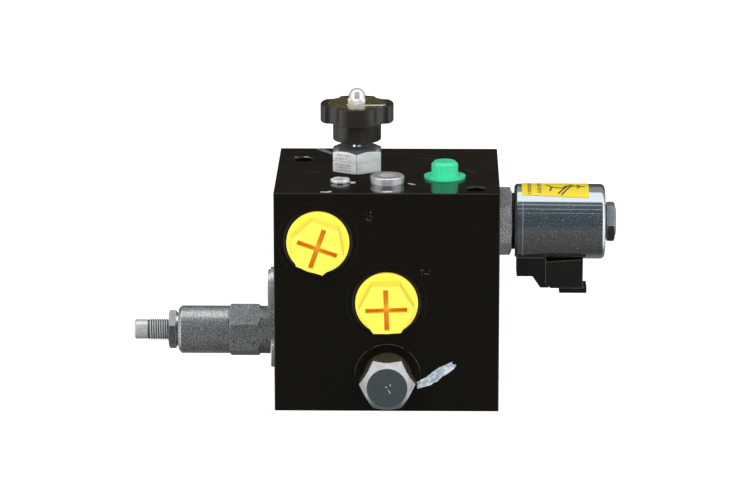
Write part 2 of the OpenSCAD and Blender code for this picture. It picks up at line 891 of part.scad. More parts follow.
module gauge_plug_washer() {
    color(zinc) on_top(0, gauge_y)
        turned_shell([[-gap, 1.55, 8.7]], [[-1, 2, gauge_thread_r + gap]]);
}

module vent_plug() {
    color(zinc) on_top(vent_x, vent_y) difference() {
        turned([[-8, vent_head_from, vent_thread_r],
            [vent_head_from, vent_head_to - vent_head_edge, vent_head_r],
            [vent_head_to - vent_head_edge, vent_head_to, vent_head_r, vent_head_r - vent_head_edge]]);
        hexagon(4, -2, 3);
    }
}

module vent_plug_washer() {
    color(steel) on_top(vent_x, vent_y)
        turned_shell([[-gap, vent_washer_t, 5]], [[-1, 2, vent_thread_r + gap]]);
}

module cavity_plug() {
    color(zinc) on_left(cavity_plug_y, cavity_plug_z) difference() {
        turned([[-13.5, -1.6, cavity_thread_r], [-1.6, 0.05, 9.6], [0.05, 2.9, 12.95],
            [2.9, 4, 11.6], [4, 4.3, 11.6, 11.2]]);
        hexagon(12.7, -4, 5);
    }
}

module cavity_plug_seal() {
    color(rubber) on_left(cavity_plug_y, cavity_plug_z) seal_ring(10.3, 0.62, -0.68);
}

module drilling_plug() {
    color(zinc) on_left(drilling_plug_y, drilling_plug_z) difference() {
        turned([[-9.5, -1.6, drilling_thread_r], [-1.6, 0.05, 4.3], [0.05, 2.3, 7.55],
            [2.3, 2.7, 7.55, 7.1]]);
        hexagon(4.76, -2.5, 3);
    }
}

module drilling_plug_seal() {
    color(rubber) on_left(drilling_plug_y, drilling_plug_z) seal_ring(4.9, 0.5, -0.6);
}

// Plastic plug of a large port: hollow thread, round flange, hexagon with a cross slot
module port_plug(turn) {
    flange_to = 2;
    head_to = 15;
    slot_w = 2.6;
    slot_reach = 10.9;
    slot_depth = 7;
    color(plug_yellow) rotate(turn) difference() {
        union() {
            turned([[-12, -1, port_r - 0.15], [-1 + gap, flange_to - 0.4, 16.35],
                [flange_to - 0.4, flange_to, 16.35, 15.95]]);
            chamfered_hexagon(port_plug_hex, flange_to - cut, head_to, 0, 0, 0.9);
        }
        turned([[-13, 4, port_r - 2]]);
        for (arm = [0, 90]) rotate(arm)
            translate([-slot_reach, -slot_w / 2, head_to - slot_depth])
                cube([2 * slot_reach, slot_w, slot_depth + 1]);
    }
}

module upper_port_plug() {
    on_front(upper_port_x, upper_port_z) port_plug(-19.5);
}

module lower_port_plug() {
    on_front(0, lower_port_z) port_plug(2);
}

module test_port_plug() {
    flange_to = 1.2;
    top = 8.9;
    body_r = 7.05;
    color(plug_green) on_top(test_x, test_y) difference() {
        turned([[-9, -8, 4.6, test_bore_r - gap], [-8, gap, test_bore_r - gap],
            [gap, flange_to, 10.9], [flange_to, top - 1.5, body_r],
            [top - 1.5, top, body_r, 5.55]]);
        for (i = [0:test_plug_flutes - 1])
            rotate(i * 360 / test_plug_flutes) translate([body_r + 0.25, 0, flange_to + 0.6])
                cylinder(r = 0.7, h = 10);
        turned([[-10, 3, 3.6]]);
    }
}

manifold_block();
solenoid_valve_body();
valve_spool();
spool_push_pin();
armature_tube();
pole_piece();
plunger();
plunger_spring();
solenoid_face_seal();
solenoid_cage_seals();
coil_shell();
coil_bobbin();
coil_winding();
coil_end_washer();
connector_housing();
connector_pins();
coil_label();
coil_inner_seal();
coil_outer_seal();
coil_nut();
relief_body();
relief_spring_housing();
relief_seat();
relief_poppet();
relief_spring();
relief_spring_seat();
spring_seat_seal();
adjusting_screw();
screw_seal_washer();
adjuster_locknut();
relief_face_seal();
relief_cage_seal();
needle_body();
needle_tip();
needle_stem();
stem_seal();
control_knob();
knob_insert();
knob_acorn_nut();
needle_face_seal();
needle_cage_seal();
check_body();
check_seat();
check_poppet();
check_spring();
check_face_seal();
check_cage_seal();
gauge_plug();
gauge_plug_washer();
vent_plug();
vent_plug_washer();
cavity_plug();
cavity_plug_seal();
drilling_plug();
drilling_plug_seal();
upper_port_plug();
lower_port_plug();
test_port_plug();
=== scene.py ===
"""Looks of the manifold block with its solenoid valve, relief valve, needle valve and check valve.

Sizes are in millimetres and become metres where a mesh is made. Places come from the CAD frame.
"""

import math
import random

import bmesh
import bpy
from mathutils import Matrix, Vector


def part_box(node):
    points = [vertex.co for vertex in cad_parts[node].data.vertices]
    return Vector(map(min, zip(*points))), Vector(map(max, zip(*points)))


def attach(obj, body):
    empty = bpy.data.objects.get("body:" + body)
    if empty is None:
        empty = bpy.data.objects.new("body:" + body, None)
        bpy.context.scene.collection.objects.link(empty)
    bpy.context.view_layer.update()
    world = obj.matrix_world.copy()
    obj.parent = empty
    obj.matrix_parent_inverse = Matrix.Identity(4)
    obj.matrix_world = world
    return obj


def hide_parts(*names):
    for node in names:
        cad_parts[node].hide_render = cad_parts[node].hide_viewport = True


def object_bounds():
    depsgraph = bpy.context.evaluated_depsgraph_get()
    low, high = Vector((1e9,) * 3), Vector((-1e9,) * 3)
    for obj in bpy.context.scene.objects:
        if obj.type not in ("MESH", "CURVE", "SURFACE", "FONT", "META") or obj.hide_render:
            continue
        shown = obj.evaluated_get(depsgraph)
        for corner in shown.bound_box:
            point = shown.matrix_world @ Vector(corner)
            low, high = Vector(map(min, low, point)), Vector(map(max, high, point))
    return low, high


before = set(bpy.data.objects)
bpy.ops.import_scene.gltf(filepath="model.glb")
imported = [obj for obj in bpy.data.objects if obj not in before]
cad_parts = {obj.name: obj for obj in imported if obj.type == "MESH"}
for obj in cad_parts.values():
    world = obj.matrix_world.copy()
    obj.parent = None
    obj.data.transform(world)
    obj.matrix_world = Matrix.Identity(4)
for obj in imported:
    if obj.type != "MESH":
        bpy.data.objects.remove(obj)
CAD_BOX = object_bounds()
MM = 0.001

BLOCK_LOW, BLOCK_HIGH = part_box("manifold_block")
COIL_SEAM = 12.6  # turned line on the coil, out from the block's right face
SCREW_THREAD_TO = 70.25  # outer end of the adjusting screw's thread, out from the left face


# ---- Node materials ----
class Finish:
    """One node material: each call adds a node and gives its output socket."""

    def __init__(self, name):
        self.material = bpy.data.materials.new(name)
        self.material.use_nodes = True
        self.tree = self.material.node_tree
        self.shader = self.tree.nodes["Principled BSDF"]
        self.place = self.add("TexCoord", output="Object")

    def add(self, kind, inputs=None, output=0, **settings):
        node = self.tree.nodes.new("ShaderNode" + kind)
        for key, value in settings.items():
            setattr(node, key, value)
        for key, value in (inputs or {}).items():
            self.put(node.inputs[key], value)
        return node.outputs[output]

    def put(self, socket, value):
        if isinstance(value, bpy.types.NodeSocket):
            self.tree.links.new(value, socket)
        elif socket.type == "RGBA" and len(value) == 3:
            socket.default_value = (*value, 1)
        else:
            socket.default_value = value

    def set(self, **inputs):
        for key, value in inputs.items():
            self.put(self.shader.inputs[key.replace("_", " ")], value)
        return self

    def noise(self, size_mm, detail=2, rough=0.5, stretch=(1, 1, 1)):
        """Noise with features of about size_mm, drawn out along an axis where stretch is above 1."""
        place = self.add("VectorMath", {0: self.place, 1: tuple(1 / s for s in stretch)},
                         operation="MULTIPLY")
        return self.add("TexNoise", {"Vector": place, "Scale": 1 / (size_mm * MM),
                                     "Detail": detail, "Roughness": rough})

    def rings(self, axis, size_mm, detail=2):
        """Noise that changes only along one axis: turning marks."""
        parts = self.add("SeparateXYZ", {0: self.place}, output=axis)
        return self.add("TexNoise", {"W": parts, "Scale": 1 / (size_mm * MM), "Detail": detail},
                        noise_dimensions="1D")

    def span(self, value, low, high, to_low=0.0, to_high=1.0):
        return self.add("MapRange", {0: value, 1: low, 2: high, 3: to_low, 4: to_high})

    def calc(self, operation, a, b=0.0):
        return self.add("Math", {0: a, 1: b}, operation=operation)

    def mix(self, share, a, b, blend="MIX"):
        node = self.tree.nodes.new("ShaderNodeMix")
        node.data_type = "RGBA"
        node.blend_type = blend
        self.put(node.inputs[0], share)
        self.put(node.inputs[6], a)
        self.put(node.inputs[7], b)
        return node.outputs[2]

    def bump(self, height, depth_mm, below=None):
        inputs = {"Height": height, "Distance": depth_mm * MM}
        if below is not None:
            inputs["Normal"] = below
        return self.add("Bump", inputs)

    def facing(self, axis):
        """Component of the surface normal along X, Y or Z."""
        return self.add("SeparateXYZ", {0: self.add("NewGeometry", output="Normal")}, output=axis)

    def part(self, axis):
        """Position along X, Y or Z in millimetres."""
        along = self.add("SeparateXYZ", {0: self.place}, output=axis)
        return self.calc("MULTIPLY", along, 1 / MM)

    def band(self, value, centre, half_width, soft):
        """1 where value is within half_width of centre, fading over soft."""
        off = self.calc("ABSOLUTE", self.calc("SUBTRACT", value, centre))
        return self.span(off, half_width, half_width + soft, 1.0, 0.0)

    def edges(self, radius_mm, low=0.02, high=0.2):
        """0 on open surfaces, 1 near the edges."""
        rounded = self.add("Bevel", {"Radius": radius_mm * MM}, samples=4)
        flat = self.add("NewGeometry", output="Normal")
        agree = self.add("VectorMath", {0: rounded, 1: flat}, output="Value",
                         operation="DOT_PRODUCT")
        return self.span(self.calc("SUBTRACT", 1.0, agree), low, high)


def zinc(name, base, metal=0.5, speckle=0.5, rough=0.35, grain=0.45, axis=None, relief=0.01,
         streaks=0.0, edge_painted_highlight=0.55, painted_facing_light=None):
    """Plated steel: crystal speckle, part mirror and part matt, with turning marks along axis, and edges
    lightened as painted highlights.

    The facing tints are painted light and shade, multiplied into surfaces that face up, forward and
    down.
    """
    f = Finish(name)
    coarse = f.noise(grain, 3, 0.7)
    cloud = f.noise(4, 3, 0.55)
    light = f.span(coarse, 0.41, 0.59)
    dark = tuple(c * (1 - 0.8 * speckle) for c in base)
    bright = tuple(min(1, c * (1 + 1.1 * speckle)) for c in base)
    colour = f.mix(light, dark, bright)
    normal = f.bump(coarse, relief)
    if axis is not None:
        turned = f.rings(axis, 0.45, 3)
        normal = f.bump(turned, 0.006, normal)
        colour = f.mix(f.span(turned, 0.4, 0.6, 0, streaks), colour, dark)
    # Painted light and shade: surfaces that face up, forward or down each get their own tint.
    if painted_facing_light is not None:
        up, forward, down = painted_facing_light
        painted_facing_tint = f.mix(f.span(f.facing("Z"), -0.3, -0.45), forward, down)
        painted_facing_tint = f.mix(f.span(f.facing("Z"), 0.3, 0.45), painted_facing_tint, up)
        colour = f.mix(1.0, colour, painted_facing_tint, "MULTIPLY")
    # Painted highlight: colour lightened near the edges.
    colour = f.mix(f.calc("MULTIPLY", f.edges(0.7, 0.01, 0.09), edge_painted_highlight), colour, (0.86, 0.88, 0.9))
    f.set(Base_Color=colour, Metallic=metal, Normal=normal,
          Roughness=f.span(cloud, 0.3, 0.7, rough * 0.8, rough * 1.3))
    return f.material


def coil_finish():
    """Bright drawn shell: almost a mirror, with a turned line near its block end and fine pits."""
    f = Finish("coil_plate")
    drawn = f.rings("Z", 0.7, 3)
    pits = f.span(f.noise(0.5, 2, 0.6), 0.64, 0.69)
    base = f.mix(f.span(drawn, 0.3, 0.7), (0.6, 0.65, 0.68), (0.74, 0.78, 0.8))
    base = f.mix(f.calc("MULTIPLY", pits, 0.8), base, (0.95, 0.97, 1.0))
    seam = f.band(f.part("X"), BLOCK_HIGH.x / MM + COIL_SEAM, 0.12, 0.12)
    seam_wear = f.span(f.noise(3, 2), 0.4, 0.65, 0.0, 0.35)
    base = f.mix(f.calc("MULTIPLY", seam, seam_wear), base, (0.98, 0.98, 0.98))
    metal = f.span(f.calc("MAXIMUM", seam, pits), 0, 1, 0.985, 0.6)
    f.set(Base_Color=base, Metallic=metal, Roughness=f.span(f.noise(5, 3), 0.3, 0.7, 0.03, 0.06),
          Normal=f.bump(f.noise(0.6, 3, 0.6), 0.0009))
    return f.material


def check_finish():
    """Check valve: dark rough end and bright turned cone; olive flats as a painted reflection of the
    yellow plug, painted shade under the cone and painted highlights at the edges.
    """
    f = Finish("check_plate")
    grain = f.noise(0.5, 3, 0.7)
    out = f.facing("Y")
    end = f.mix(f.span(grain, 0.38, 0.62), (0.05, 0.065, 0.072), (0.17, 0.2, 0.215))
    # Olive on the flats is a painted reflection of the yellow port plug.
    flat = f.mix(f.span(grain, 0.38, 0.62), (0.045, 0.042, 0.026), (0.2, 0.19, 0.15))
    cone = f.mix(f.span(f.noise(2.5, 3), 0.35, 0.65), (0.8, 0.83, 0.86), (0.97, 0.98, 1.0))
    # Painted shade: the cone turns dark grey where it faces down.
    cone = f.mix(f.span(f.facing("Z"), -0.4, -0.75), cone, (0.22, 0.23, 0.24))
    colour = f.mix(f.span(out, -0.3, -0.38), flat, cone)
    colour = f.mix(f.span(out, -0.93, -0.97), colour, end)
    # Painted highlight: colour lightened near the edges.
    colour = f.mix(f.calc("MULTIPLY", f.edges(0.4), 0.6), colour, (0.8, 0.82, 0.84))
    f.set(Base_Color=colour, Metallic=0.5, Roughness=0.3, Normal=f.bump(grain, 0.006))
    return f.material


def needle_finish():
    """Needle valve body: frosted white flats, a polished crown and painted shade on the rounded corner
    that faces forward.
    """
    f = Finish("needle_plate")
    grain = f.noise(0.6, 3, 0.7)
    up = f.facing("Z")
    frost = f.mix(f.span(grain, 0.36, 0.6), (0.7, 0.73, 0.76), (1.0, 1.0, 1.0))
    colour = f.mix(f.span(up, 0.25, 0.6), frost, (0.86, 0.92, 0.98))
    # Painted shade: the forward-facing rounded corner turns near black.
    corner = f.calc("MULTIPLY", f.span(f.facing("Y"), -0.885, -0.93), f.span(up, 0.5, 0.3))
    colour = f.mix(corner, colour, (0.02, 0.021, 0.022))
    f.set(Base_Color=colour, Metallic=f.span(up, 0.25, 0.6, 0.42, 0.88),
          Roughness=f.span(up, 0.25, 0.6, 0.2, 0.14), Normal=f.bump(grain, 0.004))
    return f.material


def nut_finish():
    """Polished acorn nut with a warm painted reflection on the sides that face left."""
    f = Finish("nut_plate")
    left_painted_reflection = f.span(f.facing("X"), -0.3, -0.75)
    base = f.mix(left_painted_reflection, (0.97, 0.97, 0.97), (0.98, 0.8, 0.66))
    cloud = f.noise(1.5, 3)
    f.set(Base_Color=f.mix(f.span(cloud, 0.3, 0.7, 0, 0.1), base, (0.6, 0.6, 0.6)), Metallic=0.6,
          Roughness=0.12, Normal=f.bump(cloud, 0.01))
    return f.material


def screw_finish():
    """Plated screw with painted shade in its thread roots, which leaves the crests bright."""
    f = Finish("screw_zinc")
    low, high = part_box("relief_spring_housing")
    across = [f.calc("SUBTRACT", f.part(axis), (low[i] + high[i]) / 2 / MM)
              for axis, i in (("Y", 1), ("Z", 2))]
    radius = f.calc("SQRT", f.calc("ADD", f.calc("MULTIPLY", across[0], across[0]),
                                   f.calc("MULTIPLY", across[1], across[1])))
    grain = f.noise(0.35, 3, 0.7)
    base = f.mix(f.span(grain, 0.38, 0.62), (0.6, 0.62, 0.63), (0.97, 0.99, 1.0))
    # Painted shade: the thread roots turn dark.
    root = f.span(radius, 5.2, 5.6, 1.0, 0.0)
    thread_end = BLOCK_LOW.x / MM - SCREW_THREAD_TO
    threaded = f.span(f.part("X"), thread_end, thread_end + 0.3)
    base = f.mix(f.calc("MULTIPLY", root, threaded), base, (0.13, 0.13, 0.125))
    f.set(Base_Color=base, Metallic=0.5, Roughness=f.span(grain, 0.3, 0.7, 0.2, 0.32),
          Normal=f.bump(grain, 0.008))
    return f.material


def black_coat():
    """Oiled black oxide: deep brown black, faint clouds and dust specks, with edges lightened as painted
    highlights.
    """
    f = Finish("black_coat")
    cloud = f.noise(11, 4, 0.6)
    fine = f.noise(0.6, 3, 0.6)
    dust = f.span(f.noise(0.5, 2, 0.5), 0.7, 0.78)
    base = f.mix(cloud, (0.0046, 0.0030, 0.0010), (0.0085, 0.0055, 0.0026))
    base = f.mix(f.calc("MULTIPLY", dust, 0.05), base, (0.3, 0.27, 0.25))
    # Painted highlight: colour lightened near the edges.
    base = f.mix(f.calc("MULTIPLY", f.edges(0.6), 0.05), base, (0.34, 0.29, 0.25))
    f.set(Base_Color=base, IOR=1.5, Roughness=f.span(cloud, 0.3, 0.7, 0.11, 0.19),
          Normal=f.bump(fine, 0.0015))
    return f.material


def plastic(name, low, high, rough=0.4, grain=0.5, relief=0.01, edge_painted_sheen=0.0, **extra):
    f = Finish(name)
    base = f.mix(f.noise(6, 3), low, high)
    # Painted highlight: edges lightened by this share.
    if edge_painted_sheen:
        base = f.mix(f.calc("MULTIPLY", f.edges(0.45), edge_painted_sheen), base, (0.5, 0.48, 0.43))
    f.set(Base_Color=base, Roughness=f.span(f.noise(1.2, 3), 0.3, 0.7, rough * 0.85, rough * 1.15),
          Normal=f.bump(f.noise(grain, 3, 0.6), relief), **extra)
    return f.material


def deep_plastic(name, low, high, shade, painted_glow, rough=0.35, reach_mm=9):
    """Moulded plastic whose emission glow is painted light, and whose colour deepens to painted shade in
    slots.
    """
    f = Finish(name)
    open_sky = f.add("AmbientOcclusion", {"Distance": reach_mm * MM}, output="AO", samples=12)
    base = f.mix(f.noise(6, 3), low, high)
    # Painted shade: colour turns to the shade colour where ambient occlusion finds the surface enclosed.
    base = f.mix(f.span(open_sky, 0.05, 0.7), shade, base)
    # Painted light: the emission glow lifts the shaded sides.
    f.set(Base_Color=base, Roughness=f.span(f.noise(1.2, 3), 0.3, 0.7, rough * 0.85, rough * 1.15),
          Emission_Color=base, Emission_Strength=painted_glow, Normal=f.bump(f.noise(0.8, 3, 0.6), 0.006))
    return f.material


def insert_finish():
    """Bright olive lacquer on an engraved disc."""
    f = Finish("insert_olive")
    grain = f.noise(0.7, 3, 0.7, (2.2, 0.7, 1))
    base = f.mix(f.span(grain, 0.4, 0.62), (0.14, 0.11, 0.022), (0.5, 0.42, 0.17))
    f.set(Base_Color=base, Metallic=0.75, Roughness=f.span(grain, 0.3, 0.7, 0.18, 0.32),
          Normal=f.bump(grain, 0.01))
    return f.material


def copper():
    f = Finish("copper_wire")
    turns = f.rings("X", 0.35, 1)
    f.set(Base_Color=f.mix(turns, (0.35, 0.13, 0.05), (0.7, 0.33, 0.15)), Metallic=0.9,
          Roughness=0.35, Normal=f.bump(turns, 0.05))
    return f.material


def paint(name, low, high, grain=1.2, rough=0.55):
    """Brushed paint with thin and thick patches."""
    f = Finish(name)
    patch = f.noise(grain, 4, 0.7)
    f.set(Base_Color=f.mix(f.span(patch, 0.4, 0.6), low, high), Roughness=rough,
          Normal=f.bump(patch, 0.08))
    return f.material


def make_finishes():
    return {
        "block_black": black_coat(),
        "zinc_plate": zinc("zinc_plate", (0.68, 0.72, 0.76), 0.42, 0.9, 0.38, 0.55, None, 0.008,
                           edge_painted_highlight=0.8, painted_facing_light=((0.42, 0.42, 0.42), (1, 1, 1), (1, 1, 1))),
        "locknut_plate": zinc("locknut_plate", (0.5, 0.52, 0.53), 0.6, 0.5, 0.28, 0.4, None, 0.005,
                              painted_facing_light=((0.62, 0.64, 0.65), (0.3, 0.3, 0.31), (0.45, 0.44, 0.43))),
        "relief_plate": zinc("relief_plate", (0.27, 0.28, 0.28), 0.5, 0.85, 0.38, 0.55, "X",
                             0.006, 0.3, painted_facing_light=((0.8, 0.8, 0.8), (1, 1, 1), (0.9, 0.88, 0.84))),
        "coil_nut_plate": zinc("coil_nut_plate", (0.6, 0.66, 0.72), 0.5, 0.4, 0.25, 0.4, None,
                               0.004, painted_facing_light=((0.55, 0.54, 0.52), (1, 1, 1), (0.14, 0.09, 0.06))),
        "housing_plate": zinc("housing_plate", (0.56, 0.58, 0.56), 0.82, 0.8, 0.3, 0.5, "X",
                              0.006, 0.35),
        "plug_zinc": zinc("plug_zinc", (0.68, 0.71, 0.74), 0.75, 0.4, 0.25, 0.4, None, 0.004),
        "screw_zinc": screw_finish(),
        "coil_plate": coil_finish(),
        "polished_plate": zinc("polished_plate", (0.84, 0.87, 0.9), 1.0, 0.1, 0.13, 0.6, None,
                               0.002, 0.0, 0.2),
        "gauge_plate": zinc("gauge_plate", (0.86, 0.9, 0.94), 0.6, 0.2, 0.2, 0.5, None, 0.002),
        "stem_plate": zinc("stem_plate", (0.9, 0.9, 0.9), 1.0, 0.08, 0.06, 0.6, None, 0.001),
        "nut_plate": nut_finish(),
        "needle_plate": needle_finish(),
        "check_plate": check_finish(),
        "plain_steel": zinc("plain_steel", (0.4, 0.39, 0.37), 0.9, 0.2, 0.3, 0.6),
        "spring_steel": zinc("spring_steel", (0.35, 0.34, 0.33), 0.9, 0.15, 0.28, 0.4),
        "seal_rubber": plastic("seal_rubber", (0.012, 0.014, 0.01), (0.024, 0.026, 0.02), 0.5),
        "moulded_black": plastic("moulded_black", (0.008, 0.0068, 0.005), (0.016, 0.013, 0.01), 0.4,
                                 edge_painted_sheen=0.55),
        "knob_black": plastic("knob_black", (0.021, 0.018, 0.0135), (0.033, 0.027, 0.021), 0.24,
                              0.7, 0.004, 0.45),
        "insert_olive": insert_finish(),
        "copper_wire": copper(),
        "label_yellow": plastic("label_yellow", (0.9, 0.7, 0.015), (1.0, 0.8, 0.03), 0.35),
        "print_brown": plastic("print_brown", (0.06, 0.045, 0.01), (0.12, 0.09, 0.02), 0.4),
        "plug_yellow": deep_plastic("plug_yellow", (0.93, 0.77, 0.07), (1.0, 0.86, 0.11),
                                    (0.62, 0.2, 0.004), 0.4),
        "plug_green": deep_plastic("plug_green", (0.055, 0.74, 0.37), (0.08, 0.84, 0.46),
                                   (0.01, 0.42, 0.2), 0.06, 0.3, 2),
        "glossy_seal": plastic("glossy_seal", (0.004, 0.004, 0.005), (0.008, 0.008, 0.009), 0.08,
                               IOR=1.5),
        "torque_paint": paint("torque_paint", (0.55, 0.58, 0.62), (0.9, 0.91, 0.92)),
        "streak_paint": paint("streak_paint", (0.3, 0.4, 0.5), (0.78, 0.86, 0.93), 2.2),
        "smear_paint": paint("smear_paint", (0.07, 0.09, 0.1), (0.3, 0.34, 0.37), 1.6),
        "scuff_grey": paint("scuff_grey", (0.03, 0.028, 0.025), (0.12, 0.11, 0.1), 0.8),
        "scuff_light": paint("scuff_light", (0.35, 0.42, 0.45), (0.6, 0.65, 0.68), 0.5),
    }


FINISHES = make_finishes()

# CAD nodes that stay, with their finish and the rounding of their edges in millimetres
KEPT = {
    "block_black": {"manifold_block": 0.18},
    "zinc_plate": {"solenoid_valve_body": 0.3},
    "relief_plate": {"relief_body": 0.4},
    "coil_nut_plate": {"coil_nut": 0.25},
    "housing_plate": {"relief_spring_housing": 0.3},
    "locknut_plate": {"adjuster_locknut": 0.25},
    "plug_zinc": {"cavity_plug": 0.2, "drilling_plug": 0.2},
    "screw_zinc": {"adjusting_screw": 0},
    "coil_plate": {"coil_shell": 0.5},
    "needle_plate": {"needle_body": 1.15},
    "stem_plate": {"needle_stem": 0.1},
    "nut_plate": {"knob_acorn_nut": 0.3},
    "check_plate": {"check_body": 0.3},
    "polished_plate": {"vent_plug_washer": 0, "screw_seal_washer": 0},
    "gauge_plate": {"gauge_plug": 0.25, "gauge_plug_washer": 0.1, "vent_plug": 0.15},
    "plain_steel": {"armature_tube": 0.1, "valve_spool": 0.1, "spool_push_pin": 0.1,
                    "pole_piece": 0.1, "plunger": 0.1, "coil_end_washer": 0.1, "relief_seat": 0.1,
                    "relief_poppet": 0.1, "relief_spring_seat": 0.1, "needle_tip": 0.1,
                    "check_seat": 0.1, "check_poppet": 0.1, "connector_pins": 0.05},
    "spring_steel": {"plunger_spring": 0, "relief_spring": 0, "check_spring": 0},
    "seal_rubber": {name: 0 for name in (
        "solenoid_face_seal", "solenoid_cage_seals", "coil_inner_seal", "coil_outer_seal",
        "spring_seat_seal", "relief_face_seal", "relief_cage_seal", "stem_seal",
        "needle_face_seal", "needle_cage_seal", "check_face_seal", "check_cage_seal",
        "cavity_plug_seal", "drilling_plug_seal")},
    "moulded_black": {"connector_housing": 0.4, "coil_bobbin": 0.1},
    "knob_black": {"control_knob": 0},
    "insert_olive": {"knob_insert": 0.15},
    "copper_wire": {"coil_winding": 0.1},
    "label_yellow": {"coil_label": 0},
    "plug_yellow": {"upper_port_plug": 0.35, "lower_port_plug": 0.35},
    "plug_green": {"test_port_plug": 0.2},
}
# Parts that show no reflection in the parts round them
MATT_NEIGHBOURS = ("upper_port_plug", "lower_port_plug", "needle_body", "needle_stem")


def round_edges(piece, radius_mm, segments=3):
    """Softens the sharp edges of a CAD mesh with modifiers, which leave its own vertices alone."""
    weld = piece.modifiers.new("weld", "WELD")
    weld.merge_threshold = 1e-6
    bevel = piece.modifiers.new("round", "BEVEL")
    bevel.width = radius_mm * MM
    bevel.segments = segments
    bevel.limit_method = "ANGLE"
    bevel.angle_limit = math.radians(30)
    bevel.use_clamp_overlap = True
    normals = piece.modifiers.new("normals", "WEIGHTED_NORMAL")
    normals.keep_sharp = False
    normals.weight = 50


def finish_kept_nodes():
    for finish, nodes in KEPT.items():
        for name, radius in nodes.items():
            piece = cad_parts[name]
            piece.data.materials.clear()
            piece.data.materials.append(FINISHES[finish])
            piece.data.polygons.foreach_set("use_smooth", [True] * len(piece.data.polygons))
            if radius:
                round_edges(piece, radius)
    for name in MATT_NEIGHBOURS:
        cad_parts[name].visible_glossy = False


finish_kept_nodes()


# ---- Own meshes ----
SHARP_ANGLE = math.radians(35)


def axes(x, y, origin):
    """Matrix from a valve's millimetres to metres; z points out of the block's face."""
    x, y = Vector(x), Vector(y)
    matrix = Matrix((x * MM, y * MM, x.cross(y) * MM)).transposed().to_4x4()
    matrix.translation = origin
    return matrix


def middle(node):
    low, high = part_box(node)
    return (low + high) / 2


TOP = axes((1, 0, 0), (0, 1, 0), (0, 0, BLOCK_HIGH.z))
FRONT = axes((1, 0, 0), (0, 0, 1), (0, BLOCK_LOW.y, 0))
SOLENOID = axes((0, 0, -1), (0, 1, 0), (BLOCK_HIGH.x, *middle("armature_tube").yz))
RELIEF = axes((0, 0, 1), (0, 1, 0), (BLOCK_LOW.x, *middle("relief_spring_housing").yz))
NEEDLE = axes((1, 0, 0), (0, 1, 0), (*middle("needle_stem").xy, BLOCK_HIGH.z))
CHECK = axes((1, 0, 0), (0, 0, 1), (middle("check_seat").x, BLOCK_LOW.y, middle("check_seat").z))


def make_piece(name, points, faces, place, body, finish, replaces=()):
    """Closed mesh from points in a valve's millimetres, riding on a body."""
    mesh = bpy.data.meshes.new(name)
    mesh.from_pydata([place @ Vector(p) for p in points], [], faces)
    work = bmesh.new()
    work.from_mesh(mesh)
    bmesh.ops.remove_doubles(work, verts=work.verts, dist=1e-7)
    bmesh.ops.recalc_face_normals(work, faces=work.faces)
    work.to_mesh(mesh)
    work.free()
    mesh.polygons.foreach_set("use_smooth", [True] * len(mesh.polygons))
    mesh.set_sharp_from_angle(angle=SHARP_ANGLE)
    mesh.materials.append(FINISHES[finish])
    piece = bpy.data.objects.new(name, mesh)
    bpy.context.scene.collection.objects.link(piece)
    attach(piece, body)
    if replaces:
        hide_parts(*replaces)
    return piece


def loft(rings, closed=True):
    """Points and faces of the skin through rings of equal length; closed joins the last to the first."""
    count = len(rings[0])
    points = [p for ring in rings for p in ring]
    steps = len(rings) if closed else len(rings) - 1
    faces = []
    for i in range(steps):
        here, there = i * count, (i + 1) % len(rings) * count
        for j in range(count):
            n = (j + 1) % count
            faces.append((here + j, here + n, there + n, there + j))
    if not closed:
        faces.append(tuple(range(count))[::-1])
        faces.append(tuple(range((len(rings) - 1) * count, len(rings) * count)))
    return points, faces


def arc(radius, low, high, steps):
    """Points (across, along) of a quarter round, by angle in degrees."""
    angles = [math.radians(low + (high - low) * k / steps) for k in range(steps + 1)]
    return [(radius * math.cos(a), radius * math.sin(a)) for a in angles]


# Knob, in millimetres above the block along the needle valve's axis
KNOB_R = 19.4
KNOB_LOBES = 4
KNOB_FRONT_LOBE = math.radians(-90)
NOTCH_R = 7.5
NOTCH_DEPTH = 3.2
LOBE_CORNER = 1.3
KNOB_FROM, KNOB_HEAD, KNOB_TO = 14.2, 26.1, 35.4
KNOB_TOP_ROUND, KNOB_LOW_ROUND = 0.7, 0.3
HUB_R = 12.8
RECESS_R, RECESS_FLOOR = 15.4, 34.2
STEM_HOLE_R = 2.5


def knob_outline(inset):
    """Lobed outline of the knob's head, drawn in from its full size by inset."""
    outer = KNOB_R - inset
    notch = NOTCH_R + 0.3 * inset
    corner = LOBE_CORNER - 0.4 * inset
    centre = KNOB_R - NOTCH_DEPTH + NOTCH_R
    reach = outer - corner
    turn = math.acos((reach**2 + centre**2 - (notch + corner)**2) / (2 * reach * centre))
    towards = math.atan2(reach * math.sin(turn), reach * math.cos(turn) - centre)
    half = []
    for k in range(9):
        a = math.pi + (towards - math.pi) * k / 8
        half.append((centre + notch * math.cos(a), notch * math.sin(a)))
    for k in range(1, 6):
        a = towards - math.pi + (turn - towards + math.pi) * k / 5
        half.append((reach * math.cos(turn) + corner * math.cos(a),
                     reach * math.sin(turn) + corner * math.sin(a)))
    for k in range(1, 11):
        a = turn + (math.pi / KNOB_LOBES - turn) * k / 10
        half.append((outer * math.cos(a), outer * math.sin(a)))
    pitch = [(x, -y) for x, y in reversed(half)] + half[1:-1]
    outline = []
    for i in range(KNOB_LOBES):
        a = KNOB_FRONT_LOBE + (i + 0.5) * 2 * math.pi / KNOB_LOBES
        outline += [(x * math.cos(a) - y * math.sin(a), x * math.sin(a) + y * math.cos(a))
                    for x, y in pitch]
    return outline


